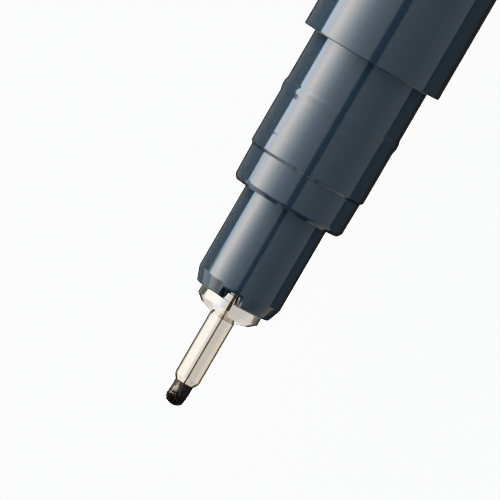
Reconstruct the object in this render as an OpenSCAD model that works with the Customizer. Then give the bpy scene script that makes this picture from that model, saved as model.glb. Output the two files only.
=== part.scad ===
// Fibre-tip technical pen, lying on its side with its cap pushed on the tail.
// Each piece is drawn standing on the pen's axis, with its height measured from the
// writing point, and along_pen() then lays it down along X with the nib towards -X.
// The row frame's origin is on the table, under the middle of the whole object.

/* [Nib and metal tip] */
// Diameter of the fibre nib
nib_d = 1.54; // [1.2:0.02:1.54]
// Length of the nib that stands out of its tube
nib_out = 1.88; // [1.2:0.02:2.4]
// Outside diameter of the metal tube round the nib
tube_d = 2.07; // [2.07:0.01:2.2]
// Where the tube ends at the flange's neck
tube_end = 7.46; // [7.2:0.02:7.5]
// Diameter of the metal flange
flange_d = 5.1; // [4.8:0.02:5.3]
// Height of the flange's straight rim
flange_rim = 0.66; // [0.5:0.02:0.8]

/* [Nose and grip] */
// Diameter of the nose
nose_d = 6.92; // [6.6:0.02:7.2]
// Where the nose's front face is
nose_start = 8.9; // [8.85:0.01:9.05]
// Where the nose widens into its collar
collar_start = 16.9; // [16:0.02:18]
// Diameter of the nose's collar
collar_d = 9.26; // [9:0.02:9.4]
// Where the grip starts behind the collar
grip_start = 19.78; // [19.2:0.02:20]
// Diameter of the grip
grip_d = 9.48; // [9.46:0.02:9.6]
// Number of air notches and flange lugs
notches = 3; // [2:1:4]

/* [Barrel and tail] */
// Diameter of the barrel
barrel_d = 11.5; // [11.3:0.1:12]
// Where the barrel starts
barrel_start = 29.4; // [28.8:0.02:29.8]
// Where the barrel ends
barrel_end = 112; // [105:0.5:118]
// Length of the tail that the cap is pushed on
tail_len = 14; // [13:0.5:14]
// Diameter of the tail
tail_d = 9.56; // [9.4:0.02:9.58]

/* [Cap and clip] */
// Length of the cap without its crown
cap_len = 36.2; // [36:0.1:38]
// Length of the crown's head
crown_len = 5.2; // [4:0.1:7]
// Thickness of the clip's steel
clip_t = 0.5; // [0.4:0.05:0.6]
// Width of the clip where it leaves the crown
clip_w = 4; // [3:0.1:5]
// Gap between the clip's arm and the cap
clip_gap = 1.2; // [0.9:0.1:1.8]

/* [Hidden] */
$fn = 96;

slip = 0.02;      // radial room between pieces that are pushed together
eps = 0.01;       // room between faces that meet end to end
plastic = [0.09, 0.11, 0.13];
steel = [0.80, 0.79, 0.77];
white_resin = [0.86, 0.86, 0.83];

nib_r = nib_d / 2;
nib_dome = 0.92;               // length of the nib's rounded point
nib_end = 21.5;                // where the nib meets the relay wick
tube_r = tube_d / 2;
tube_wall = 0.17;
lip_len = 0.4;                 // length of the tube's narrow mouth, inside
crimp_len = 0.45;              // length of the tube's slanted front, outside
spigot_r = tube_r - tube_wall - slip;
spigot_start = 4;
cone_start = tube_end + 0.04;  // where the flange's cone leaves its spigot
cone_r = 2.3;                  // rim of the flange's shallow front cone
cone_end = cone_start + 0.48;
flange_r = flange_d / 2;
flange_start = nose_start - eps - flange_rim;
hub_r = 1.72;
hub_end = 13.2;
stem_r = 1.35;
stem_end = 16;
lug_r = 2.15;
lug_h = 0.57;

nose_r = nose_d / 2;
nose_face_r = 3.05;
nose_taper = 1.1;              // length of the nose's tapered front
chamber_r = 2.3;               // hollow behind the flange, where the air comes in
chamber_end = 10.5;
notch_h = 0.7;
notch_w = 2.1;
notch_top_w = 1.6;
notch_angle = 175;             // puts one notch 5 degrees from the top, towards +Y
collar_r = collar_d / 2;
collar_draft = 0.1;            // how much slimmer the collar is at its front
nose_plug_r = 3.9;
nose_plug_end = 27;

carrier_start = 14.02;
carrier_end = 24;
carrier_r = 2.58;
wick_r = 1.18;
wick_end = 38;

grip_r = grip_d / 2;
bead_start = 24.42;
bead_end = 25.27;
bead_r = grip_r + 0.09;
seam_at = 21.32;               // fine line round the grip
seam_w = 0.1;
seam_depth = 0.04;
grip_plug_start = 29.9;
grip_plug_end = 40;

barrel_r = barrel_d / 2;
bore_r = 4.92;
rib_h = 0.45;
rib_w = 0.7;
rib_count = 6;
rib_start = 44;

core_start = 35;
core_end = 108;
core_r = 4.2;
film_t = 0.1;
seat_r = core_r + film_t + 0.08; // seats that hold the reservoir's ends

tail_end = barrel_end + tail_len;
tail_r = tail_d / 2;
tail_plug_start = 104.5;

cap_mouth = barrel_end + 0.3;
cap_end = cap_mouth + cap_len;
cap_bore_r = 4.95;
snap_depth = 5.6;              // where the cap's inner bead grips behind the grip's bead
snap_r = 4.84;
liner_start = cap_mouth + 14.5;
liner_end = liner_start + 18.7;
shoulder = liner_end + 0.3;     // where the shell narrows for the crown's neck
liner_r = 3.52;
liner_floor = 1.2;
crown_neck_r = 4.0;
ring_t = 0.5;
crown_start = cap_end + ring_t + 2 * eps;
crown_end = crown_start + crown_len;
disc_r = 3.9;
disc_t = 0.5;
disc_proud = 0.05;
pen_end = crown_end + disc_proud;
disc_start = pen_end - disc_t;

clip_in = barrel_r + clip_gap;
clip_out = clip_in + clip_t;
clip_root = cap_end + eps + ring_t / 2;
clip_tip = cap_mouth + 2.6;
clip_hump = clip_tip + 2.7;

// The pen lies on the barrel and on the corner of its clip: this is how far round
// from straight down the clip then is.
clip_corner = norm([clip_out, clip_w / 2]);
clip_roll = acos(barrel_r / clip_corner) + atan(clip_w / 2 / clip_out);
axis_z = barrel_r;
axis_y = (clip_corner * sin(clip_roll + atan(clip_w / 2 / clip_out)) - barrel_r) / 2;

// ---------- drawing helpers ----------

function unit(v) = v / norm(v);

// The arc that rounds corner b, between corners a and c, to radius f
function arc_at(a, b, c, f, steps = 5) =
    let (
        u = unit(a - b),
        v = unit(c - b),
        half = acos(max(-1, min(1, u * v))) / 2,
        middle = b + unit(u + v) * f / sin(half),
        from = b + u * f / tan(half) - middle,
        to = b + v * f / tan(half) - middle,
        start = atan2(from[1], from[0]),
        turn = (atan2(to[1], to[0]) - start + 540) % 360 - 180
    )
    [for (i = [0:steps]) middle + f * [cos(start + turn * i / steps), sin(start + turn * i / steps)]];

// An outline whose corners are [x, y] or [x, y, radius of rounding]
function rounded(corners) =
    let (n = len(corners))
    [for (i = [0:n - 1])
        let (
            p = corners[i],
            b = [p[0], p[1]],
            before = corners[(i + n - 1) % n],
            after = corners[(i + 1) % n]
        )
        each (len(p) < 3 || p[2] == 0)
            ? [b]
            : arc_at([before[0], before[1]], b, [after[0], after[1]], p[2])];

// The outline of a bent strip of thickness t whose middle line is path, with each
// bend rounded to its third number on the inside
function strip_side(path, t) =
    let (n = len(path), p = [for (q = path) [q[0], q[1]]])
    [for (i = [0:n - 1])
        let (
            u = i > 0 ? unit(p[i] - p[i - 1]) : unit(p[1] - p[0]),
            v = i < n - 1 ? unit(p[i + 1] - p[i]) : u,
            across = unit([-u[1] - v[1], u[0] + v[0]]),
            bend = across * [-u[1], u[0]],
            outside = sign(u[0] * v[1] - u[1] * v[0]) * sign(t) < 0,
            radius = path[i][2] == 0 ? 0 : path[i][2] + (outside ? abs(t) : 0)
        )
        [p[i][0] + across[0] * t / 2 / bend, p[i][1] + across[1] * t / 2 / bend, radius]];

function strip(path, t) =
    let (back = strip_side(path, -t))
    concat(strip_side(path, t), [for (i = [len(back) - 1:-1:0]) back[i]]);

// A piece turned on a lathe, from its [radius, height] outline
module turned(corners) rotate_extrude() polygon(rounded(corners));

// Lays a piece that stands on the writing point down along the row's X axis
module along_pen()
    translate([-pen_end / 2, axis_y, axis_z]) rotate([0, 90, 0]) children();

// A piece that stands out of the axis at height z, facing local +X: its outline is
// in the plane across that direction, and it reaches from radius a to radius b
module radial_prism(z, a, b, outline)
    translate([a, 0, z]) rotate([90, 0, 90]) linear_extrude(b - a) polygon(outline);

module around(count, first = 0)
    for (i = [0:count - 1]) rotate([0, 0, first + i * 360 / count]) children();

// ---------- the pen ----------

// Rod of bonded fibres, with a rounded writing point
module nib()
    color([0.05, 0.05, 0.05]) along_pen() rotate_extrude() polygon(concat(
        [for (a = [0:10:90]) [nib_r * sin(a), nib_dome * (1 - cos(a))]],
        [[nib_r, nib_end - 0.15], [nib_r - 0.15, nib_end], [0, nib_end]]));

// Steel tube round the nib, with its front pressed in to a slant and its rear edge rounded
module nib_tube()
    color(steel) along_pen() turned([
        [nib_r + slip, nib_out + 0.03],
        [nib_r + slip + 0.03, nib_out],
        [tube_r, nib_out + crimp_len, 0.3],
        [tube_r, tube_end, 0.07],
        [tube_r - tube_wall, tube_end],
        [tube_r - tube_wall, nib_out + lip_len],
        [nib_r + slip, nib_out + lip_len]]);

// Turned steel holder: a spigot inside the tube, a shallow cone, the flange's rim,
// lugs that stand in the nose's notches, and a hub that is pressed into the nose
module tip_flange() {
    lug = [[-0.46, 0], [0.46, 0], [0.33, lug_h], [-0.33, lug_h]];
    color(steel) along_pen() {
        turned([
            [nib_r + slip, spigot_start],
            [spigot_r, spigot_start, 0.04],
            [spigot_r, cone_start],
            [cone_r, cone_end],
            [flange_r, flange_start, 0.05],
            [flange_r, flange_start + flange_rim, 0.05],
            [hub_r, flange_start + flange_rim],
            [hub_r, hub_end, 0.15],
            [stem_r, hub_end],
            [stem_r, stem_end, 0.1],
            [nib_r + slip, stem_end]]);
        around(notches, notch_angle)
            radial_prism(flange_start + flange_rim - 0.1, hub_r - 0.2, lug_r,
                [for (p = lug) [p[0], p[1] + (p[1] > 0 ? 0.1 : 0)]]);
    }
}

// Moulded nose: tapered front with air notches, straight nose, rounded collar and
// the plug that goes into the grip
module nose_cone() {
    deep = chamber_r - 0.3;
    color(plastic) along_pen() difference() {
        turned([
            [chamber_r, nose_start],
            [nose_face_r, nose_start, 0.22],
            [nose_r, nose_start + nose_taper, 0.5],
            [nose_r, collar_start, 0.08],
            [collar_r - collar_draft, collar_start, 0.5],
            [collar_r, grip_start - 0.9],
            [collar_r, grip_start - eps, 0.06],
            [nose_plug_r, grip_start - eps],
            [nose_plug_r, nose_plug_end, 0.2],
            [carrier_r + slip, nose_plug_end],
            [carrier_r + slip, carrier_start - eps],
            [hub_r + slip, carrier_start - eps],
            [hub_r + slip, chamber_end],
            [chamber_r, chamber_end]]);
        around(notches, notch_angle)
            radial_prism(nose_start, deep, nose_r + 1, [
                [-notch_w / 2, -0.1],
                [notch_w / 2, -0.1],
                [notch_top_w / 2, notch_h],
                [-notch_top_w / 2, notch_h]]);
    }
}

// Resin core of the nose: it centres the nib and the wick, and its grooves let air past
module nib_carrier() {
    groove_w = 0.8;
    groove_in = 1.9;
    color(white_resin) along_pen() difference() {
        turned([
            [stem_r + slip, carrier_start],
            [carrier_r, carrier_start, 0.15],
            [carrier_r, carrier_end, 0.15],
            [wick_r + slip, carrier_end],
            [wick_r + slip, nib_end],
            [nib_r + slip, nib_end],
            [nib_r + slip, stem_end + eps],
            [stem_r + slip, stem_end + eps]]);
        around(4)
            translate([groove_in, -groove_w / 2, carrier_start - 1])
                cube([2, groove_w, carrier_end - carrier_start + 2]);
    }
}

// Fibre rod that carries the ink from the reservoir to the nib
module relay_wick()
    color([0.12, 0.12, 0.13]) along_pen() turned([
        [0, nib_end + eps],
        [wick_r, nib_end + eps, 0.12],
        [wick_r, wick_end, 0.3],
        [0, wick_end]]);

// Moulded grip, with a fine groove, the bead that the cap snaps over, and the plug
// that is pressed into the barrel
module grip_section() {
    color(plastic) along_pen() turned([
        [nose_plug_r + slip, grip_start],
        [grip_r, grip_start, 0.05],
        [grip_r, seam_at - seam_w / 2],
        [grip_r - seam_depth, seam_at],
        [grip_r, seam_at + seam_w / 2],
        [grip_r, bead_start],
        [bead_r, bead_start + 0.14, 0.05],
        [bead_r, bead_end - 0.14, 0.05],
        [grip_r, bead_end],
        [grip_r, grip_plug_start],
        [bore_r - slip, grip_plug_start + 0.2],
        [bore_r - slip, grip_plug_end, 0.3],
        [seat_r, grip_plug_end],
        [seat_r, core_start - eps],
        [3.4, core_start - eps],
        [3.4, nose_plug_end + 0.2],
        [nose_plug_r + slip, nose_plug_end + 0.2]]);
}

// Barrel tube, with ribs inside that hold the reservoir off the wall
module barrel() {
    rib_len = tail_plug_start - 1 - rib_start;
    color(plastic) along_pen() {
        turned([
            [bore_r + 0.06, barrel_start],
            [barrel_r, barrel_start, 0.12],
            [barrel_r, barrel_end, 0.22],
            [bore_r, barrel_end],
            [bore_r, barrel_start + 0.4],
            [bore_r + 0.06, barrel_start + 0.3]]);
        around(rib_count)
            translate([bore_r - rib_h, -rib_w / 2, rib_start]) cube([rib_h + 0.2, rib_w, rib_len]);
    }
}

// Bundle of fibres that holds the ink, with a socket for the wick
module ink_reservoir()
    color([0.10, 0.10, 0.11]) along_pen() turned([
        [0, wick_end + eps],
        [wick_r + slip, wick_end + eps],
        [wick_r + slip, core_start],
        [core_r, core_start, 0.3],
        [core_r, core_end, 0.3],
        [0, core_end]]);

// Film wrapped round the reservoir
module reservoir_film()
    color([0.85, 0.86, 0.88]) along_pen() turned([
        [core_r + eps, core_start + 0.3],
        [core_r + film_t, core_start + 0.3],
        [core_r + film_t, core_end - 0.3],
        [core_r + eps, core_end - 0.3]]);

// Hollow plug that closes the barrel and makes the tail
module tail_plug() {
    hollow_r = 3.9;
    floor_t = 1.2;
    color(plastic) along_pen() turned([
        [seat_r, tail_plug_start],
        [bore_r - slip, tail_plug_start, 0.2],
        [bore_r - slip, barrel_end - 0.05],
        [tail_r, barrel_end + 0.05],
        [tail_r, tail_end, 0.6],
        [0, tail_end],
        [0, tail_end - floor_t],
        [hollow_r, tail_end - floor_t, 0.5],
        [hollow_r, core_end + 0.5],
        [seat_r, core_end + 0.1]]);
}

// ---------- the cap ----------

// Cap's outer shell: rounded mouth, a fine groove, an inner snap bead and a shoulder
// for the crown's neck
module cap_shell() {
    groove_at = cap_mouth + 1.7;
    snap_at = cap_mouth + snap_depth;
    color(plastic) along_pen() turned([
        [cap_bore_r + 0.2, cap_mouth],
        [barrel_r, cap_mouth, 0.2],
        [barrel_r, groove_at - 0.14],
        [barrel_r - 0.12, groove_at],
        [barrel_r, groove_at + 0.14],
        [barrel_r, cap_end, 0.12],
        [crown_neck_r + slip, cap_end],
        [crown_neck_r + slip, shoulder],
        [cap_bore_r, shoulder],
        [cap_bore_r, snap_at + 0.5],
        [snap_r, snap_at + 0.15, 0.1],
        [snap_r, snap_at - 0.15, 0.1],
        [cap_bore_r, snap_at - 0.5],
        [cap_bore_r, cap_mouth + 0.3]]);
}

// Inner cap that closes round the nose, so that the nib doesn't dry out
module cap_liner() {
    waist_r = 4.4;
    color(white_resin) along_pen() turned([
        [liner_r + 0.6, liner_start],
        [cap_bore_r - slip, liner_start, 0.15],
        [cap_bore_r - slip, liner_start + 2.5],
        [waist_r, liner_start + 3],
        [waist_r, liner_end - 3],
        [cap_bore_r - slip, liner_end - 2.5],
        [cap_bore_r - slip, liner_end, 0.2],
        [0, liner_end],
        [0, liner_end - liner_floor],
        [liner_r, liner_end - liner_floor, 0.6],
        [liner_r, liner_start + 1]]);
}

// Ring of the steel clip, held between the cap and its crown
module clip_ring()
    color(steel) along_pen() turned([
        [crown_neck_r + slip, cap_end + eps],
        [barrel_r, cap_end + eps, 0.06],
        [barrel_r, cap_end + eps + ring_t, 0.06],
        [crown_neck_r + slip, cap_end + eps + ring_t]]);

// Crown that closes the cap: its neck goes through the clip's ring into the shell
module cap_crown() {
    neck_end = shoulder + 0.05;
    color(plastic) along_pen() turned([
        [0, neck_end],
        [crown_neck_r, neck_end, 0.15],
        [crown_neck_r, crown_start],
        [barrel_r, crown_start, 0.12],
        [barrel_r - 0.1, crown_end, 0.7],
        [disc_r + slip, crown_end],
        [disc_r + slip, disc_start - eps],
        [0, disc_start - eps]]);
}

// Plain disc let into the crown's end
module crown_disc()
    color([0.72, 0.73, 0.74]) along_pen() turned([
        [0, disc_start],
        [disc_r, disc_start],
        [disc_r, pen_end, 0.08],
        [0, pen_end]]);

// Springy arm of the clip: bent strip, narrower towards its tip, with a hump that
// presses on the cap and a lifted lip
module clip_arm() {
    tip_w = 3;
    middle = clip_in + clip_t / 2;
    side = [
        [barrel_r + 0.12, clip_root, 0],
        [middle, clip_root, 0.35],
        [middle, clip_hump + 4, 3],
        [barrel_r + 0.06 + clip_t / 2, clip_hump, 1.2],
        [barrel_r + 1.0 + clip_t / 2, clip_tip, 0]];
    plan = [
        [clip_w / 2, clip_root + 1],
        [clip_w / 2, clip_root - 4],
        [tip_w / 2, clip_hump + 2],
        [tip_w / 2, clip_tip - 0.1, 1.2],
        [-tip_w / 2, clip_tip - 0.1, 1.2],
        [-tip_w / 2, clip_hump + 2],
        [-clip_w / 2, clip_root - 4],
        [-clip_w / 2, clip_root + 1]];
    color(steel) along_pen() rotate([0, 0, -clip_roll]) intersection() {
        rotate([90, 0, 0]) linear_extrude(clip_w + 1, center = true) polygon(rounded(strip(side, clip_t)));
        radial_prism(0, barrel_r - 1, clip_out + 1, rounded(plan));
    }
}

nib();
nib_tube();
tip_flange();
nose_cone();
nib_carrier();
relay_wick();
grip_section();
barrel();
ink_reservoir();
reservoir_film();
tail_plug();
cap_shell();
cap_liner();
clip_ring();
cap_crown();
crown_disc();
clip_arm();
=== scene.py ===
import math

import bmesh
import bpy
from mathutils import Matrix, Vector, noise


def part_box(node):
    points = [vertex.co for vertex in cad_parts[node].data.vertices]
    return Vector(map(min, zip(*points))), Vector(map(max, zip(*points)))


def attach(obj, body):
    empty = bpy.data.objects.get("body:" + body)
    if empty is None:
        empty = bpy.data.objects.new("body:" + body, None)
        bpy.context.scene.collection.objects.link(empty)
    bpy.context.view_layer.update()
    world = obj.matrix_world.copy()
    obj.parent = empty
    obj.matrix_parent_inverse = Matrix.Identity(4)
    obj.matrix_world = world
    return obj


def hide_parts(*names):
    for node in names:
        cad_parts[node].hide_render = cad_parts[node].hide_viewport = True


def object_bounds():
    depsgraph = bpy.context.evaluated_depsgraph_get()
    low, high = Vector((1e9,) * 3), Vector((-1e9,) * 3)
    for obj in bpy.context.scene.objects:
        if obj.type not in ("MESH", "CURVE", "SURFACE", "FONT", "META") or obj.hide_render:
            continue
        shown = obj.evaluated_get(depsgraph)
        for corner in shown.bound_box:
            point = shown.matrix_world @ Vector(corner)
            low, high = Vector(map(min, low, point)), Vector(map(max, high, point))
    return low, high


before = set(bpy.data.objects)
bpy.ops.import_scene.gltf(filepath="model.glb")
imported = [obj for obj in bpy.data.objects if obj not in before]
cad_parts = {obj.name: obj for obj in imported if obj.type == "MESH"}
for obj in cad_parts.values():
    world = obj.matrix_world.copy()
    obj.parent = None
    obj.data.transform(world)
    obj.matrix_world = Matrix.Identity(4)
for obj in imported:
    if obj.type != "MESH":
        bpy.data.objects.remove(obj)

# The pen lies along X with its nib towards -X. Its turned pieces are drawn here from
# outlines in millimetres: radius, and distance from the nib's point along the axis.
cad_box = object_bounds()
MM = 0.001
TURN = 192                       # sides of a turned piece
ON_AXIS = 1e-6                   # a radius below this is a point on the axis
cad_low, cad_high = (Vector(corner) for corner in cad_box)
BARREL_R = (cad_high.z - cad_low.z) / 2
TIP = Vector((cad_low.x, cad_high.y - BARREL_R, cad_low.z + BARREL_R))
scene = bpy.context.scene
scene.view_settings.view_transform = "Khronos PBR Neutral"
scene.view_settings.look = "None"


# ---------- camera ----------

VIEW_TILT = math.radians(2.9)    # how far the camera looks from behind the nose
VIEW_ROLL = math.radians(30.2)   # how far the pen leans in the picture
VIEW_DIST = 0.5556
VIEW_LENS = 540
AIM_ALONG = 12.83                # what the picture's middle shows, along the axis
AIM_LEFT = 0.75                  # and to its left


def add_camera():
    """A long lens straight above the pen, turned so that the nib points down and left."""
    left = Vector((0, 1, 0))
    back = Vector((math.sin(VIEW_TILT), 0, math.cos(VIEW_TILT)))
    along = left.cross(back)
    up = math.cos(VIEW_ROLL) * along + math.sin(VIEW_ROLL) * left
    right = up.cross(back)
    aim = TIP + Vector((AIM_ALONG * MM, 0, 0)) + left * AIM_LEFT * MM
    data = bpy.data.cameras.new("camera")
    data.lens = VIEW_LENS
    data.clip_start = 0.01
    camera = bpy.data.objects.new("camera", data)
    place = Matrix((right, up, back)).transposed().to_4x4()
    place.translation = aim + back * VIEW_DIST
    camera.matrix_world = place
    scene.collection.objects.link(camera)
    scene.camera = camera


# ---------- material nodes ----------

class Nodes:
    """A node tree, with short ways to add a node and to join sockets."""

    def __init__(self, tree):
        self.tree = tree
        tree.nodes.clear()

    def add(self, kind, **values):
        node = self.tree.nodes.new("ShaderNode" + kind)
        for key, value in values.items():
            setattr(node, key, value)
        return node

    def put(self, socket, value):
        if isinstance(value, bpy.types.NodeSocket):
            self.tree.links.new(value, socket)
        elif isinstance(value, tuple) and len(value) == 3 and len(socket.default_value) == 4:
            socket.default_value = (*value, 1)
        else:
            socket.default_value = value

    def math(self, operation, a, b=0.0):
        node = self.add("Math", operation=operation)
        self.put(node.inputs[0], a)
        self.put(node.inputs[1], b)
        return node.outputs[0]

    def ramp(self, value, stops):
        """A colour for the value, from stops of (place from 0 to 1, colour)."""
        node = self.add("ValToRGB")
        elements = node.color_ramp.elements
        while len(elements) < len(stops):
            elements.new(0.5)
        for element, (at, _) in zip(elements, stops):
            element.position = at
        for element, (_, colour) in zip(elements, stops):
            element.color = (*colour, 1)
        self.put(node.inputs[0], value)
        return node.outputs[0]

    def place(self, scale=(1, 1, 1)):
        """Object coordinates in millimetres from the nib's point, stretched by scale."""
        coords = self.add("TexCoord")
        mapping = self.add("Mapping")
        self.put(mapping.inputs["Vector"], coords.outputs["Object"])
        size = [s / MM for s in scale]
        mapping.inputs["Scale"].default_value = size
        mapping.inputs["Location"].default_value = [-c * s for c, s in zip(TIP, size)]
        return mapping.outputs[0]

    def noise(self, vector, scale, detail=2.0, roughness=0.5):
        node = self.add("TexNoise")
        self.put(node.inputs["Vector"], vector)
        node.inputs["Scale"].default_value = scale
        node.inputs["Detail"].default_value = detail
        node.inputs["Roughness"].default_value = roughness
        return node.outputs["Fac"]

    def range(self, value, low, high, a=0.0, b=1.0):
        """The value carried from low..high to a..b, and held there."""
        node = self.add("MapRange")
        for socket, v in zip(node.inputs, (value, low, high, a, b)):
            self.put(socket, v)
        return node.outputs[0]

    def mix(self, factor, a, b):
        node = self.add("Mix", data_type="RGBA")
        self.put(node.inputs["Factor"], factor)
        self.put(node.inputs[6], a)
        self.put(node.inputs[7], b)
        return node.outputs[2]

    def bump(self, height, distance, strength):
        """A relief of the height, in millimetres."""
        node = self.add("Bump")
        node.inputs["Strength"].default_value = strength
        node.inputs["Distance"].default_value = distance * MM
        self.put(node.inputs["Height"], height)
        return node.outputs[0]


def material(name, build):
    """A material whose Principled shader gets the sockets that build(nodes) returns."""
    made = bpy.data.materials.new(name)
    made.use_nodes = True
    nodes = Nodes(made.node_tree)
    shader = nodes.add("BsdfPrincipled")
    out = nodes.add("OutputMaterial")
    nodes.put(out.inputs["Surface"], shader.outputs[0])
    for socket, value in build(nodes).items():
        nodes.put(shader.inputs[socket], value)
    return made


def slate_plastic(n):
    """Glossy dark slate navy moulding: faint flow in the colour, near-smooth skin."""
    flow = n.noise(n.place((0.25, 1, 1)), 0.8, 3)
    skin = n.noise(n.place(), 2.2, 2)
    grain = n.noise(n.place(), 28, 2)
    height = n.math("ADD", n.math("MULTIPLY", skin, 0.8), n.math("MULTIPLY", grain, 0.06))
    return {
        "Base Color": n.mix(flow, (0.0265, 0.0360, 0.0450), (0.0300, 0.0400, 0.0495)),
        "Roughness": n.range(n.noise(n.place(), 9, 3), 0.3, 0.7, 0.07, 0.12),
        "IOR": 1.55,
        "Normal": n.bump(height, 0.004, 0.3),
    }


def drawn_steel(n):
    """Bright drawn tube or strip: fine lines along the pen."""
    lines = n.noise(n.place((0.06, 6, 6)), 5, 3, 0.6)
    wear = n.noise(n.place(), 3, 4)
    return {
        "Base Color": n.mix(wear, (0.58, 0.515, 0.43), (0.62, 0.555, 0.47)),
        "Metallic": 1.0,
        "Roughness": n.range(lines, 0.3, 0.7, 0.03, 0.07),
        "Normal": n.bump(lines, 0.002, 0.25),
    }


def turned_steel(n):
    """Polished steel with the faint rings that a lathe leaves."""
    place = n.place()
    split = n.add("SeparateXYZ")
    n.put(split.inputs[0], place)
    y, z = split.outputs[1], split.outputs[2]
    radius = n.math("SQRT", n.math("ADD", n.math("MULTIPLY", y, y), n.math("MULTIPLY", z, z)))
    join = n.add("CombineXYZ")
    n.put(join.inputs[0], split.outputs[0])
    n.put(join.inputs[1], radius)
    rings = n.noise(join.outputs[0], 16, 2)
    return {
        "Base Color": n.mix(n.noise(place, 2, 3), (0.57, 0.525, 0.465), (0.61, 0.565, 0.505)),
        "Metallic": 1.0,
        "Roughness": n.range(rings, 0.3, 0.7, 0.03, 0.07),
        "Normal": n.bump(rings, 0.003, 0.4),
    }


def inked_fibre(n):
    """Nib: ink-black bonded fibres, dull, with glossier flats of resin rubbed down. The flats' paler
    greige colour is a painted glint that stands in for the softbox's reflection on them.
    """
    strands = n.range(n.noise(n.place((0.35, 3, 3)), 5, 4, 0.7), 0.3, 0.7)
    # The flats' mask: they are glossier, and a paler greige colour on them is a painted glint of the
    # softbox's reflection.
    worn_glint = n.add("Attribute", attribute_name="worn_glint").outputs["Fac"]
    bare_glint = n.mix(n.range(n.noise(n.place(), 9, 2), 0.35, 0.65), (0.12, 0.10, 0.075), (0.23, 0.19, 0.14))
    return {
        "Base Color": n.mix(worn_glint, n.mix(strands, (0.010, 0.009, 0.0085), (0.046, 0.040, 0.037)), bare_glint),
        "Roughness": n.range(worn_glint, 0, 1, 0.7, 0.35),
        "Specular IOR Level": 0.3,
        "Normal": n.bump(n.math("ADD", strands, n.noise(n.place(), 12, 3)), 0.02, 0.6),
    }


def white_resin(n):
    """Milky moulding: the cap's liner and the core that carries the nib."""
    cloud = n.noise(n.place(), 1.2, 3)
    return {
        "Base Color": n.mix(cloud, (0.76, 0.76, 0.72), (0.83, 0.83, 0.80)),
        "Roughness": n.range(cloud, 0.3, 0.7, 0.42, 0.52),
        "Subsurface Weight": 0.15,
        "Subsurface Scale": 0.5 * MM,
        "Normal": n.bump(n.noise(n.place(), 20, 2), 0.004, 0.4),
    }


def ink_fibre(n):
    """Soft fibres soaked in black ink, lying along the pen."""
    strands = n.noise(n.place((0.05, 4, 4)), 5, 4, 0.7)
    return {
        "Base Color": n.mix(strands, (0.010, 0.010, 0.013), (0.045, 0.045, 0.055)),
        "Roughness": 0.85,
        "Normal": n.bump(strands, 0.03, 0.7),
    }


def clear_film(n):
    """Thin pale film with creases along the pen."""
    creases = n.noise(n.place((0.3, 1, 1)), 1.5, 4)
    return {
        "Base Color": n.mix(creases, (0.74, 0.76, 0.79), (0.86, 0.87, 0.90)),
        "Roughness": n.range(creases, 0.3, 0.7, 0.15, 0.3),
        "Normal": n.bump(creases, 0.05, 0.5),
    }


def grey_disc(n):
    """Satin grey moulding with a fine grain."""
    cloud = n.noise(n.place(), 3, 3)
    return {
        "Base Color": n.mix(cloud, (0.40, 0.41, 0.42), (0.46, 0.47, 0.48)),
        "Roughness": n.range(cloud, 0.3, 0.7, 0.22, 0.3),
        "Normal": n.bump(n.noise(n.place(), 22, 2), 0.004, 0.4),
    }


# ---------- stage ----------

def glow_material(name, colour):
    """Emission of one colour, or of what the function colour(nodes) returns."""
    made = bpy.data.materials.new(name)
    made.use_nodes = True
    n = Nodes(made.node_tree)
    glow = n.add("Emission")
    n.put(glow.inputs["Color"], colour(n) if callable(colour) else colour)
    n.put(n.add("OutputMaterial").inputs["Surface"], glow.outputs[0])
    return made


def add_emitter(name, verts, faces, skin):
    """A mesh that gives light, and that the camera doesn't see. Its points are measured from
    the nib's point, in metres."""
    mesh = bpy.data.meshes.new(name)
    mesh.from_pydata([TIP + v for v in verts], [], faces)
    mesh.materials.append(skin)
    emitter = bpy.data.objects.new(name, mesh)
    scene.collection.objects.link(emitter)
    emitter.visible_camera = False
    return mesh


BOX_STEPS = 36                   # flat faces round a softbox
LOWER_PART = (38, 56)            # degrees from straight above over which its lower part begins


def softbox(name, stops, side, radius, ends, fade=None, front=1):
    """A curved softbox round the pen's axis. Stops are degrees from straight above and
    radiance. It lies between two ends along the axis. Between the two places in fade, the
    front end of its lower part dims to the share front."""
    first, last = stops[0][0], stops[-1][0]
    verts, faces = [], []
    for i in range(BOX_STEPS + 1):
        a = math.radians(first + (last - first) * i / BOX_STEPS)
        verts += [Vector((x, side * radius * math.sin(a), radius * math.cos(a))) for x in ends]
        if i:
            faces.append((2 * i - 2, 2 * i - 1, 2 * i + 1, 2 * i))
    top = max(max(colour) for _, colour in stops)

    def place(degrees):
        return (degrees - first) / (last - first)

    def colour(n):
        split = n.add("SeparateXYZ")
        n.put(split.inputs[0], n.add("UVMap", uv_map="across").outputs[0])
        across, along = split.outputs[0], split.outputs[1]
        shade = n.add("VectorMath", operation="SCALE")
        lit = [(place(at), tuple(c / top for c in radiance)) for at, radiance in stops]
        n.put(shade.inputs[0], n.ramp(across, lit))
        strength = top
        if fade:
            dimmed = n.range(across, place(LOWER_PART[0]), place(LOWER_PART[1]), top, top * front)
            strength = n.range(along, *fade, dimmed, top)
        n.put(shade.inputs["Scale"], strength)
        return shade.outputs[0]

    mesh = add_emitter(name, verts, faces, glow_material(name, colour))
    layer = mesh.uv_layers.new(name="across")
    for i, face in enumerate(mesh.polygons):
        corners = ((i, ends[0]), (i, ends[1]), (i + 1, ends[1]), (i + 1, ends[0]))
        for loop, (u, v) in zip(face.loop_indices, corners):
            layer.data[loop].uv = (u / BOX_STEPS, v)


def add_sheet(name, points, colour):
    """A flat emitter with one face."""
    add_emitter(name, [Vector(point) for point in points], [tuple(range(len(points)))],
                glow_material(name, colour))


# The paper's colours are painted light: brighter and cooler on the left under the bright softbox,
# dimmer and warmer on the right.
PAPER_LEFT = (1.6, 1.65, 1.7)
PAPER_RIGHT = (1.05, 1.03, 0.98)
PAPER_Z = -BARREL_R - 0.001      # paper just under the floor, which reflections see through


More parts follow.
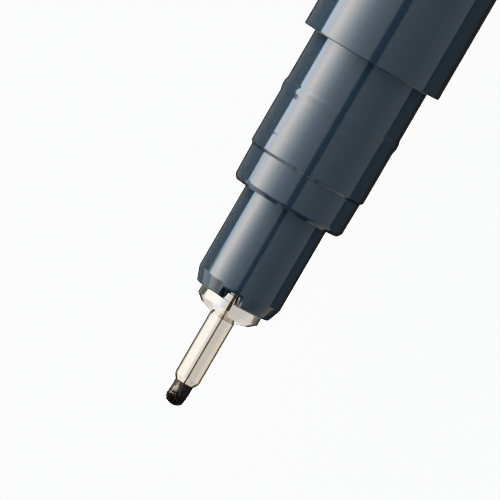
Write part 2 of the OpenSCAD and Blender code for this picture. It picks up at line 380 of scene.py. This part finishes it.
def add_paper():
    """Glowing sheets that stand in for lit paper, which the steel reflects: flat in front of the pen
    and beside its tip, and on two small cards that stand just ahead of the nib. Their glow is painted
    light, and the flat sheets stop short of the pen, a painted shadow where the pen would shade the
    paper."""
    front = [(-400, 0), (-3, 0), (-10, 8), (-10, 300), (-400, 300)]
    # The inner edge beside the tip keeps clear of the pen: a painted shadow where the pen would shade
    # the paper.
    beside = [(-10, 19), (6.6, 15), (6.6, 300), (-10, 300)]
    for name, side, edge, colour in (
            ("paper_front_left", 1, front, PAPER_LEFT),
            ("paper_front_right", -1, front, PAPER_RIGHT),
            ("paper_left", 1, beside, PAPER_LEFT),
            ("paper_right", -1, beside, (1.25, 1.17, 1.02))):
        add_sheet(name, [(x * MM, side * y * MM, PAPER_Z) for x, y in edge], colour)
    card = [(0.6, 0), (5, 0), (5, 8), (0.6, 8)]
    card_x = -4 * MM
    for name, side, colour in (("card_left", 1, PAPER_LEFT), ("card_right", -1, PAPER_RIGHT)):
        add_sheet(name, [(card_x, side * y * MM, z * MM) for y, z in card], colour)


def add_flags():
    """Black cards in front, high and low and wider away from the pen, that darken the middle
    of what slopes down to the tip."""
    for name, height, near, far, half in (
            ("flag_high", 0.2, -0.08, -0.6, 0.14),
            ("flag_low", PAPER_Z + 0.0001, -0.012, -0.4, 0.008)):
        add_sheet(name, [(near, 0, height), (far, half, height), (far, -half, height)], (0.0, 0.0, 0.0))


BACKGROUND = 2.2                 # what the camera sees of the floor and past its edge


def add_floor():
    """A white floor that takes soft shadows and hardly lights the pen from below."""
    mesh = bpy.data.meshes.new("floor")
    reach = 9
    mesh.from_pydata([(-reach, -reach, 0), (reach, -reach, 0), (reach, reach, 0), (-reach, reach, 0)],
                     [], [(0, 1, 2, 3)])
    made = bpy.data.materials.new("floor")
    made.use_nodes = True
    n = Nodes(made.node_tree)
    shadow = n.add("BsdfDiffuse")
    n.put(shadow.inputs["Color"], (0.25, 0.25, 0.25))
    glow = n.add("Emission")
    n.put(glow.inputs["Color"], (1.0, 1.0, 1.0))
    n.put(glow.inputs["Strength"], BACKGROUND)
    seen = n.add("AddShader")
    n.put(seen.inputs[0], glow.outputs[0])
    n.put(seen.inputs[1], shadow.outputs[0])
    bounce = n.add("BsdfDiffuse")
    n.put(bounce.inputs["Color"], (0.12, 0.12, 0.12))
    pick = n.add("MixShader")
    n.put(pick.inputs[0], n.add("LightPath").outputs["Is Camera Ray"])
    n.put(pick.inputs[1], bounce.outputs[0])
    n.put(pick.inputs[2], seen.outputs[0])
    n.put(n.add("OutputMaterial").inputs["Surface"], pick.outputs[0])
    mesh.materials.append(made)
    floor = bpy.data.objects.new("floor", mesh)
    scene.collection.objects.link(floor)
    floor.visible_glossy = False


def add_softboxes():
    """A bright softbox on the left and a dim one on the right, with a narrow dark gap between
    them for the camera, fainter ones below the axis, and nearer ones for the rear's underside."""
    box = {"radius": 0.32, "ends": (-0.38, 0.6), "fade": (-0.24, -0.12)}
    softbox("softbox_left", [
        (3.8, (1.15, 1.15, 1.15)),
        (22, (1.25, 1.35, 1.5)),
        (36, (1.85, 2.05, 2.25)),
        (50, (3.8, 4.0, 4.2)),
        (62, (7.0, 6.8, 6.6)),
        (74, (10.1, 9.5, 9.1)),
        (84, (7.9, 7.7, 7.5)),
        (97, (6.2, 7.8, 9.3))], 1, front=0.2, **box)
    softbox("softbox_right", [
        (8, (0.97, 1.0, 1.04)),
        (60, (0.98, 1.02, 1.07)),
        (78, (1.1, 1.15, 1.2)),
        (98, (1.1, 1.15, 1.22))], -1, front=0.8, **box)
    low = {"radius": 0.32, "ends": (-0.15, 0.6)}
    softbox("low_left", [
        (98.5, (0.1, 0.1, 0.12)),
        (112, (0.2, 0.22, 0.25)),
        (150, (0.4, 0.38, 0.35))], 1, **low)
    softbox("low_right", [
        (100, (0.42, 0.43, 0.44)),
        (112, (0.38, 0.4, 0.42)),
        (140, (0.2, 0.2, 0.2))], -1, **low)
    for name, side, front in (("fill_left", 1, 0.1), ("fill_right", -1, 0.3)):
        softbox(name, [(99, (1.4, 1.4, 1.4)), (176, (1.1, 1.1, 1.1))], side, radius=0.09,
                ends=(0.045, 0.25), fade=(0.045, 0.09), front=front)


def add_world():
    """A dim room, bright ahead of the pen below the horizon, and white to the camera."""
    world = bpy.data.worlds.new("studio")
    world.use_nodes = True
    n = Nodes(world.node_tree)
    pale = n.add("Background")
    n.put(pale.inputs["Color"], (1.0, 1.0, 1.0))
    n.put(pale.inputs["Strength"], BACKGROUND)
    room = n.add("Background")
    split = n.add("SeparateXYZ")
    n.put(split.inputs[0], n.add("TexCoord").outputs["Generated"])
    x, y, z = split.outputs[0], split.outputs[1], split.outputs[2]
    ahead = n.range(x, -0.22, -0.38)
    below = n.range(z, -0.05, -0.2)
    inward = n.range(n.math("ADD", n.math("ABSOLUTE", y), x), -0.15, -0.23)
    glow = n.math("MULTIPLY", n.math("MULTIPLY", ahead, below), inward)
    n.put(room.inputs["Color"], n.mix(glow, (0.12, 0.105, 0.09), (1.15, 1.17, 1.2)))
    pick = n.add("MixShader")
    n.put(pick.inputs[0], n.add("LightPath").outputs["Is Camera Ray"])
    n.put(pick.inputs[1], room.outputs[0])
    n.put(pick.inputs[2], pale.outputs[0])
    n.put(n.add("OutputWorld").inputs["Surface"], pick.outputs[0])
    scene.world = world


# ---------- shapes ----------

def arc(a, b, c, radius, steps=8):
    """The points that round corner b, between a and c."""
    u, v = (a - b).normalized(), (c - b).normalized()
    half = u.angle(v) / 2
    middle = b + (u + v).normalized() * radius / math.sin(half)
    start = b + u * radius / math.tan(half) - middle
    end = b + v * radius / math.tan(half) - middle
    first = math.atan2(start.y, start.x)
    turn = (math.atan2(end.y, end.x) - first + math.pi) % (2 * math.pi) - math.pi
    angles = [first + turn * i / steps for i in range(steps + 1)]
    return [middle + radius * Vector((math.cos(angle), math.sin(angle))) for angle in angles]


def outline(corners, support=0.03):
    """An outline from corners (x, y) or (x, y, rounding). Long straight runs get a point
    close to each end, so that smooth shading stays at the rounded corners."""
    flat = [Vector(c[:2]) for c in corners]
    count = len(corners)
    points = []
    for i, corner in enumerate(corners):
        if len(corner) > 2 and corner[2]:
            points += arc(flat[i - 1], flat[i], flat[(i + 1) % count], corner[2])
        else:
            points.append(flat[i])
    dense = []
    for i, p in enumerate(points):
        after = points[(i + 1) % len(points)]
        dense.append(p)
        run = (after - p).length
        if run > 4 * support and max(p.x, after.x) > ON_AXIS:
            dense += [p.lerp(after, support / run), p.lerp(after, 1 - support / run)]
    return dense


def finish_mesh(name, mesh, skin, body, nodes, sharp=32):
    """Makes an object of the mesh: smooth but for its sharp edges, riding on its body and
    standing for its CAD nodes. Sharp is the least angle of a sharp edge, in degrees."""
    mesh.shade_smooth()
    mesh.set_sharp_from_angle(angle=math.radians(sharp))
    mesh.materials.clear()
    mesh.materials.append(skin)
    piece = bpy.data.objects.new(name, mesh)
    scene.collection.objects.link(piece)
    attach(piece, body)
    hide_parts(*nodes)


def turned_bm(corners):
    """A solid of revolution about the pen's axis, from its (radius, along) outline."""
    bm = bmesh.new()
    turns = [2 * math.pi * k / TURN for k in range(TURN)]
    rings = []
    for p in outline(corners):
        if p.x < ON_AXIS:
            rings.append([bm.verts.new(TIP + MM * Vector((p.y, 0, 0)))] * TURN)
        else:
            places = [Vector((p.y, p.x * math.cos(a), p.x * math.sin(a))) for a in turns]
            rings.append([bm.verts.new(TIP + MM * place) for place in places])
    for ring, after in zip(rings, rings[1:] + rings[:1]):
        for k in range(TURN):
            m = (k + 1) % TURN
            quad = list(dict.fromkeys((ring[k], ring[m], after[m], after[k])))
            if len(quad) > 2:
                bm.faces.new(quad)
    bmesh.ops.recalc_face_normals(bm, faces=bm.faces)
    return bm


def to_mesh(name, bm):
    """A mesh from the work mesh, which is then freed."""
    mesh = bpy.data.meshes.new(name)
    bm.to_mesh(mesh)
    bm.free()
    return mesh


def turned(name, corners, skin, body, nodes):
    """A turned piece, from its outline."""
    finish_mesh(name, to_mesh(name, turned_bm(corners)), skin, body, nodes)


def radial_prism(bm, base, angle, from_r, to_r, corners, spread=0.0):
    """Adds a prism that stands out of the axis: corners are (across, along from base), as
    wide as stated at to_r, and narrower by spread for each millimetre further in."""
    out = Vector((0, math.sin(angle), math.cos(angle)))
    side = Vector((0, math.cos(angle), -math.sin(angle)))
    ends = []
    for r in (from_r, to_r):
        share = 1 - spread * (to_r - r)
        places = [Vector((base + y, 0, 0)) + side * x * share + out * r for x, y in corners]
        ends.append([bm.verts.new(TIP + MM * place) for place in places])
    made = [bm.faces.new(ends[0]), bm.faces.new(list(reversed(ends[1])))]
    for i in range(len(corners)):
        j = (i + 1) % len(corners)
        made.append(bm.faces.new((ends[0][i], ends[1][i], ends[1][j], ends[0][j])))
    bmesh.ops.recalc_face_normals(bm, faces=made)


def boolean(mesh, other, operation):
    """The mesh after a boolean operation with the other one."""
    a = bpy.data.objects.new("a", mesh)
    b = bpy.data.objects.new("b", other)
    for o in (a, b):
        scene.collection.objects.link(o)
    step = a.modifiers.new("step", "BOOLEAN")
    step.operation, step.object, step.solver = operation, b, "EXACT"
    result = bpy.data.meshes.new_from_object(a.evaluated_get(bpy.context.evaluated_depsgraph_get()))
    for o in (a, b):
        bpy.data.objects.remove(o)
    return result


def blunt(mesh, width, chosen):
    """Rounds the mesh's sharp edges, where chosen(along, radius) is true at both ends."""
    bm = bmesh.new()
    bm.from_mesh(mesh)
    edges = []
    for edge in bm.edges:
        places = [(v.co - TIP) / MM for v in edge.verts]
        sharp = len(edge.link_faces) == 2 and edge.calc_face_angle() > math.radians(35)
        if sharp and all(chosen(p.x, math.hypot(p.y, p.z)) for p in places):
            edges.append(edge)
    bmesh.ops.bevel(bm, geom=edges, offset=width * MM, offset_type="OFFSET", segments=2,
                    profile=0.5, affect="EDGES", clamp_overlap=True)
    bm.to_mesh(mesh)
    bm.free()


def span(node):
    """Where a node starts and ends along the axis, and its radius, in millimetres."""
    low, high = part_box(node)
    return (low.x - TIP.x) / MM, (high.x - TIP.x) / MM, (high.z - low.z) / 2 / MM


GAP = 0.02                       # room between pieces that are pushed together
NOTCHES = 3
NOTCH_ANGLE = math.radians(5)    # from straight above, towards +Y
SLEEVE_R = 4.9                   # of the grip section's sleeve and the tail plug, in the barrel
FILLED_R = 4.4                   # of the bores that hold the ink reservoir's ends
PLUG_R = 3.9                     # of the nose's plug, in the grip section
NECK_R = 4.0                     # of the crown's neck, in the cap and the clip's ring
SHANK_R = 1.72                   # of the flange's shank, in the nose
nib_r = span("nib")[2]
tube_start, tube_end, tube_r = span("nib_tube")
flange_r = span("tip_flange")[2]
nose_start, nose_end, collar_r = span("nose_cone")
nose_r = 3.46                    # of the nose's straight part, in front of its collar
collar_start = 16.9
grip_start, grip_end, bead_r = span("grip_section")
grip_r = bead_r - 0.09
barrel_start, barrel_end, barrel_r = span("barrel")
tail_end = span("tail_plug")[1]
cap_mouth, cap_end, _ = span("cap_shell")
liner_start, liner_end, liner_out = span("cap_liner")
shoulder = liner_end + 0.3       # where the cap's bore ends
ring_start, ring_end, ring_r = span("clip_ring")
crown_end = span("cap_crown")[1]
disc_start, disc_end, disc_r = span("crown_disc")


# ---------- the tip ----------

DOME = 1.1                       # length of the nib's rounded point
POINT_WORN = 0.03                # length that is worn off the dome's point
FRAYED = 1.6                     # length over which the fibres stand apart
FLATS = (                        # flats rubbed on the nib, glossier and with a painted glint: degrees from above, start, height, slope
    (29, 1.04, 0.728, 0.045),
    (42, 0.76, 0.712, 0.25))


def nib_radius(s, y, z):
    """Radius of the nib at s along it, in the direction (y, z), and how far it is cut to a flat, which
    also places the painted glint.
    """
    r = nib_r * math.sqrt(max(0, 1 - (1 - min(1, (s + POINT_WORN) / DOME)) ** 2))
    frayed = max(0, 1 - s / FRAYED) * min(1, s / 0.2)
    ridge = noise.noise(Vector((y * 7, z * 7, s * 0.8)))
    crumb = noise.noise(Vector((y * 3.3, z * 3.3, s * 4.5 + 3)))
    chip = noise.noise(Vector((y * 8, z * 8, s * 9 + 7)))
    grit = noise.noise(Vector((y * 18, z * 18, s * 20)))
    r -= 0.010 * (1 + ridge) + frayed * (0.02 + 0.17 * crumb + 0.36 * chip + 0.14 * grit)
    bare_glint = 0
    for towards, start, height, slope in FLATS:
        a = math.radians(towards)
        facing = y * math.sin(a) + z * math.cos(a)
        if facing > 0.5:
            run = s - start
            cut = (height + 0.012 * chip + (slope * run if run > 0 else -3 * run)) / facing
            if cut < r:
                bare_glint = max(bare_glint, min(1, (r - cut) / 0.008))
                r = cut
    return max(0.004, min(r, nib_r)), bare_glint


def make_nib(skin):
    """Bonded fibres, ridged lengthwise, worn round and frayed at the writing end."""
    sides, rings = 240, 130
    length = tube_start + 2.0
    bm = bmesh.new()
    # mask of the flats: glossier there, and painted with a pale glint
    worn_glint = bm.verts.layers.float.new("worn_glint")
    point = bm.verts.new(TIP)
    rows = []
    for i in range(1, rings + 1):
        s = length * (i / rings) ** 1.5
        row = []
        lean = 0.06 * max(0, 1 - abs(s - 0.55) / 0.6)
        for k in range(sides):
            a = 2 * math.pi * k / sides
            y, z = math.cos(a), math.sin(a)
            r, bare_glint = nib_radius(s, y, z)
            row.append(bm.verts.new(TIP + MM * Vector((s, r * y + lean, r * z))))
            row[-1][worn_glint] = bare_glint
        rows.append(row)
    for k in range(sides):
        bm.faces.new((point, rows[0][(k + 1) % sides], rows[0][k]))
    for row, after in zip(rows, rows[1:]):
        for k in range(sides):
            m = (k + 1) % sides
            bm.faces.new((row[k], row[m], after[m], after[k]))
    bm.faces.new(list(reversed(rows[-1])))
    bmesh.ops.recalc_face_normals(bm, faces=bm.faces)
    finish_mesh("nib_point", to_mesh("nib_point", bm), skin, "pen", ["nib"], sharp=60)


def make_tube(skin):
    """Thin tube, its front edge turned in on the nib."""
    mouth_r = nib_r + 0.01
    bore_r = tube_r - 0.17
    turned_in = tube_start + 0.4
    turned("nib_sleeve", [
        (mouth_r, tube_start),
        (mouth_r + 0.03, tube_start, 0.012),
        (tube_r - 0.09, tube_start + 0.19, 0.6),
        (tube_r, turned_in + 0.02, 0.3),
        (tube_r, tube_end, 0.06),
        (bore_r, tube_end, 0.03),
        (bore_r, turned_in),
        (mouth_r, turned_in)], skin, "pen", ["nib_tube"])


def notch_angles():
    """Directions of the nose's notches and of the flange's lugs."""
    return [NOTCH_ANGLE + 2 * math.pi * i / NOTCHES for i in range(NOTCHES)]


def make_flange(skin):
    """Spigot, shallow cone, chamfer and rim, with lugs that stand in the nose's notches."""
    spigot_r, spigot_start = tube_r - 0.19, 4.2
    cone_start = 7.4
    chamfer_r, chamfer_start = 2.03, 7.8
    rim_start, rim_end = 8.23, nose_start - 0.01
    shank_end = 13.2
    stem_r, stem_end = 1.35, 16
    bm = turned_bm([
        (nib_r + GAP, spigot_start),
        (spigot_r, spigot_start, 0.04),
        (spigot_r, cone_start),
        (chamfer_r, chamfer_start, 0.04),
        (flange_r, rim_start, 0.03),
        (flange_r, rim_end, 0.04),
        (SHANK_R, rim_end),
        (SHANK_R, shank_end, 0.15),
        (stem_r, shank_end),
        (stem_r, stem_end, 0.1),
        (nib_r + GAP, stem_end)])
    lug_r, lug_height, lug_half, lug_top = 2.15, 0.57, 0.41, 0.29
    rooted = 0.1                 # how deep the lugs start inside the rim
    from_r, to_r = SHANK_R - 0.22, lug_r + 0.35
    teeth = bmesh.new()
    for angle in notch_angles():
        radial_prism(teeth, rim_end, angle, from_r, to_r, [
            (-lug_half, -rooted), (lug_half, -rooted), (lug_half, 0.1),
            (lug_top, 0.8), (-lug_top, 0.8), (-lug_half, 0.1)])
    ring = turned_bm([
        (SHANK_R - 0.12, rim_end - rooted),
        (lug_r, rim_end - rooted),
        (lug_r, rim_end + lug_height, 0.07),
        (SHANK_R - 0.12, rim_end + lug_height)])
    lugs = boolean(to_mesh("ring", ring), to_mesh("teeth", teeth), "INTERSECT")
    mesh = boolean(to_mesh("flange", bm), lugs, "UNION")
    finish_mesh("flange", mesh, skin, "pen", ["tip_flange"])


def make_nose(skin):
    """Tapered, notched front, straight nose, collar with a bevelled front and a plug."""
    mouth_r, mouth_end = 2.3, 10.5
    core_r, core_start = 2.6, 14.01
    front_r = 3.05
    taper_end = nose_start + 1.1
    collar_end = grip_start - 0.005
    bm = turned_bm([
        (mouth_r, nose_start),
        (front_r, nose_start, 0.22),
        (nose_r, taper_end, 0.5),
        (nose_r, collar_start),
        (collar_r - 0.32, collar_start),
        (collar_r - 0.05, collar_start + 0.34, 0.45),
        (collar_r, collar_end),
        (PLUG_R + 0.05, collar_end),
        (PLUG_R, grip_start),
        (PLUG_R, nose_end, 0.2),
        (core_r, nose_end),
        (core_r, core_start),
        (SHANK_R + GAP, core_start),
        (SHANK_R + GAP, mouth_end),
        (mouth_r, mouth_end)])
    notch_half, notch_top, notch_height = 1.45, 1.04, 0.7
    narrowing = 0.45             # of the notch, inwards, for each millimetre
    cut_from_r, cut_to_r = 1.9, nose_r + 0.14
    cuts = bmesh.new()
    for angle in notch_angles():
        radial_prism(cuts, nose_start, angle, cut_from_r, cut_to_r, [
            (-notch_half, -0.1), (notch_half, -0.1),
            (notch_top, notch_height), (-notch_top, notch_height)], narrowing)
    mesh = boolean(to_mesh("nose", bm), to_mesh("cuts", cuts), "DIFFERENCE")
    blunt(mesh, 0.03, lambda s, r: s < nose_start + notch_height + 0.05 and r > mouth_r + 0.05)
    finish_mesh("nose", mesh, skin, "pen", ["nose_cone"])


# ---------- grip, barrel and tail ----------

def make_grip(skin):
    """Stepped front, a fine scored line, a raised bead, and a sleeve that goes into the barrel."""
    line, depth, half = 21.32, 0.018, 0.07
    bead_start, bead_end = 24.42, 25.27
    sleeve_start = 30.1
    seat_r, seat_end = PLUG_R + GAP, 27.2
    throat_r, throat_end = 3.4, 35
    turned("grip", [
        (seat_r, grip_start),
        (collar_r - 0.01, grip_start),
        (grip_r, grip_start + 0.2, 0.12),
        (grip_r, line - half, 0.05),
        (grip_r - depth, line, 0.03),
        (grip_r, line + half, 0.05),
        (grip_r, bead_start - 0.14, 0.4),
        (bead_r, bead_start + 0.24, 0.4),
        (bead_r, bead_end - 0.22, 0.3),
        (grip_r, bead_end + 0.1, 0.3),
        (grip_r, sleeve_start - 0.2),
        (SLEEVE_R, sleeve_start),
        (SLEEVE_R, grip_end, 0.3),
        (FILLED_R, grip_end),
        (FILLED_R, throat_end),
        (throat_r, throat_end),
        (throat_r, seat_end),
        (seat_r, seat_end)], skin, "pen", ["grip_section"])


def make_barrel(skin):
    """A straight tube with eased ends."""
    bore_r = SLEEVE_R + 0.04
    turned("barrel_tube", [
        (bore_r + 0.04, barrel_start, 0.05),
        (barrel_r, barrel_start, 0.12),
        (barrel_r, barrel_end, 0.22),
        (bore_r, barrel_end),
        (bore_r, barrel_start + 0.4)], skin, "pen", ["barrel"])


def make_tail(skin):
    """A sleeve in the barrel's end, then the slimmer tail, hollow and closed."""
    tail_r = 4.78
    sleeve_start, hollow_start = 104.5, 108.5
    hollow_r, hollow_end = 3.9, tail_end - 1.2
    turned("tail", [
        (FILLED_R, sleeve_start),
        (SLEEVE_R, sleeve_start, 0.2),
        (SLEEVE_R, barrel_end - 0.05),
        (tail_r, barrel_end + 0.05),
        (tail_r, tail_end, 0.6),
        (0, tail_end),
        (0, hollow_end),
        (hollow_r, hollow_end, 0.5),
        (hollow_r, hollow_start)], skin, "pen", ["tail_plug"])


# ---------- the cap ----------

def make_cap(skin):
    """Open tube with a groove near its mouth, a snap ridge inside and a thick end that is bored
    for the crown's neck."""
    bore_r, snap_r = 4.95, 4.84
    groove = cap_mouth + 1.7
    snap = cap_mouth + 5.6
    turned("cap_tube", [
        (bore_r + 0.2, cap_mouth, 0.08),
        (barrel_r, cap_mouth, 0.2),
        (barrel_r, groove - 0.14, 0.05),
        (barrel_r - 0.12, groove, 0.04),
        (barrel_r, groove + 0.14, 0.05),
        (barrel_r, cap_end, 0.12),
        (NECK_R + GAP, cap_end),
        (NECK_R + GAP, shoulder),
        (bore_r, shoulder),
        (bore_r, snap + 0.5),
        (snap_r, snap + 0.15, 0.1),
        (snap_r, snap - 0.15, 0.1),
        (bore_r, snap - 0.5),
        (bore_r, cap_mouth + 0.3)], skin, "cap", ["cap_shell"])


def make_liner(skin):
    """A closed sleeve, waisted between the two bands that touch the cap."""
    bore_r, mouth_r, waist_r = 3.52, 4.12, 4.4
    band, slope = 2.5, 0.5
    bottom = liner_end - 1.2
    turned("cap_inner", [
        (mouth_r, liner_start),
        (liner_out, liner_start, 0.15),
        (liner_out, liner_start + band),
        (waist_r, liner_start + band + slope),
        (waist_r, liner_end - band - slope),
        (liner_out, liner_end - band),
        (liner_out, liner_end, 0.2),
        (0, liner_end),
        (0, bottom),
        (bore_r, bottom, 0.6),
        (bore_r, liner_start + 1)], skin, "cap", ["cap_liner"])


def make_clip_ring(skin):
    """The flat ring at the clip's root, held between the cap and the crown."""
    turned("clip_washer", [
        (NECK_R + GAP, ring_start),
        (ring_r, ring_start, 0.07),
        (ring_r, ring_end, 0.07),
        (NECK_R + GAP, ring_end)], skin, "cap", ["clip_ring"])


def make_crown(slate, grey):
    """A button on a neck that holds the ring, and the disc let into its end."""
    crown_start = ring_end + 0.01
    recess_r = disc_r + GAP
    recess_end = disc_start - 0.01
    turned("crown", [
        (0, shoulder + 0.05),
        (NECK_R, shoulder + 0.05, 0.15),
        (NECK_R, crown_start),
        (barrel_r, crown_start, 0.12),
        (barrel_r - 0.1, crown_end, 0.7),
        (recess_r, crown_end, 0.04),
        (recess_r, recess_end),
        (0, recess_end)], slate, "cap", ["cap_crown"])
    turned("crown_inset", [
        (0, disc_start),
        (disc_r, disc_start),
        (disc_r, disc_end, 0.08),
        (0, disc_end)], grey, "cap", ["crown_disc"])


CLIP_THICK, CLIP_EDGE = 0.5, 0.12
CLIP_GAP = 1.2                   # between the straight stretch and the cap
CLIP_WIDE, CLIP_TIP_WIDE = 4.0, 3.0
CLIP_TIP_ROUND = 1.2
clip_root = (ring_start + ring_end) / 2
clip_tip = cap_mouth + 2.6
clip_hump = clip_tip + 2.7


def clip_path():
    """The middle of the strip as (radius, along): out of the ring, along the cap, down to the
    hump that presses on it, and up again at the tip."""
    half = CLIP_THICK / 2
    straight = barrel_r + CLIP_GAP + half
    bends = [
        (barrel_r + 0.12, clip_root, 0),
        (straight, clip_root, 0.6),
        (straight, clip_hump + 4, 3.25),
        (barrel_r + 0.06 + half, clip_hump, 1.45),
        (barrel_r + 1.0 + half, clip_tip, 0)]
    flat = [Vector(bend[:2]) for bend in bends]
    line = [flat[0]]
    for before, here, after, bend in zip(flat, flat[1:], flat[2:], bends[1:]):
        line += arc(before, here, after, bend[2], 12)
    line.append(flat[-1])
    path = []
    for a, b in zip(line, line[1:]):
        steps = math.ceil((b - a).length / 0.2)
        path += [a.lerp(b, k / steps) for k in range(steps)]
    return path + [line[-1]]


def clip_half(along):
    """Half the strip's width: it narrows from near the root to the hump, and its tip is round."""
    narrows_from, narrow_by = clip_root - 4, clip_hump + 2
    narrowed = min(1, max(0, (narrows_from - along) / (narrows_from - narrow_by)))
    half = (CLIP_WIDE + (CLIP_TIP_WIDE - CLIP_WIDE) * narrowed) / 2
    short = min(CLIP_TIP_ROUND, max(0, CLIP_TIP_ROUND - (along - clip_tip)))
    return half - CLIP_TIP_ROUND + math.sqrt(CLIP_TIP_ROUND ** 2 - short ** 2)


def make_clip(skin):
    """Bent steel strip on the -Y side, rolled down so that its outer lower edge is level with
    the barrel's underside."""
    corner = Vector((CLIP_WIDE / 2, barrel_r + CLIP_GAP + CLIP_THICK))
    roll = math.acos(barrel_r / corner.length) + math.atan2(corner.x, corner.y)
    out = Vector((0, -math.sin(roll), -math.cos(roll)))
    side = Vector((0, math.cos(roll), -math.sin(roll)))
    path = clip_path()
    bm = bmesh.new()
    rows = []
    for i, p in enumerate(path):
        run = (path[min(i + 1, len(path) - 1)] - path[max(i - 1, 0)]).normalized()
        across = out * -run.y + Vector((run.x, 0, 0))
        middle = Vector((p.y, 0, 0)) + out * p.x
        half, thick = clip_half(p.y), CLIP_THICK / 2
        section = outline([(-half, -thick, CLIP_EDGE), (half, -thick, CLIP_EDGE),
                           (half, thick, CLIP_EDGE), (-half, thick, CLIP_EDGE)])
        rows.append([bm.verts.new(TIP + MM * (middle + side * q.x + across * q.y)) for q in section])
    for row, after in zip(rows, rows[1:]):
        for k in range(len(row)):
            m = (k + 1) % len(row)
            bm.faces.new((row[k], row[m], after[m], after[k]))
    bm.faces.new(rows[0])
    bm.faces.new(list(reversed(rows[-1])))
    bmesh.ops.recalc_face_normals(bm, faces=bm.faces)
    finish_mesh("clip_spring", to_mesh("clip_spring", bm), skin, "clip", ["clip_arm"])


# ---------- the build ----------

add_camera()
add_floor()
add_softboxes()
add_paper()
add_flags()
add_world()
slate = material("slate_plastic", slate_plastic)
steel = material("drawn_steel", drawn_steel)
polished = material("turned_steel", turned_steel)
fibre = material("inked_fibre", inked_fibre)
resin = material("white_resin", white_resin)
soaked = material("ink_fibre", ink_fibre)
film = material("clear_film", clear_film)
grey = material("grey_disc", grey_disc)
make_nib(fibre)
make_tube(steel)
make_flange(polished)
make_nose(slate)
make_grip(slate)
make_barrel(slate)
make_tail(slate)
make_cap(slate)
make_liner(resin)
make_clip_ring(steel)
make_crown(slate, grey)
make_clip(steel)
for node, skin in (("nib_carrier", resin), ("relay_wick", soaked), ("ink_reservoir", soaked),
                   ("reservoir_film", film)):
    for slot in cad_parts[node].material_slots:
        slot.material = skin
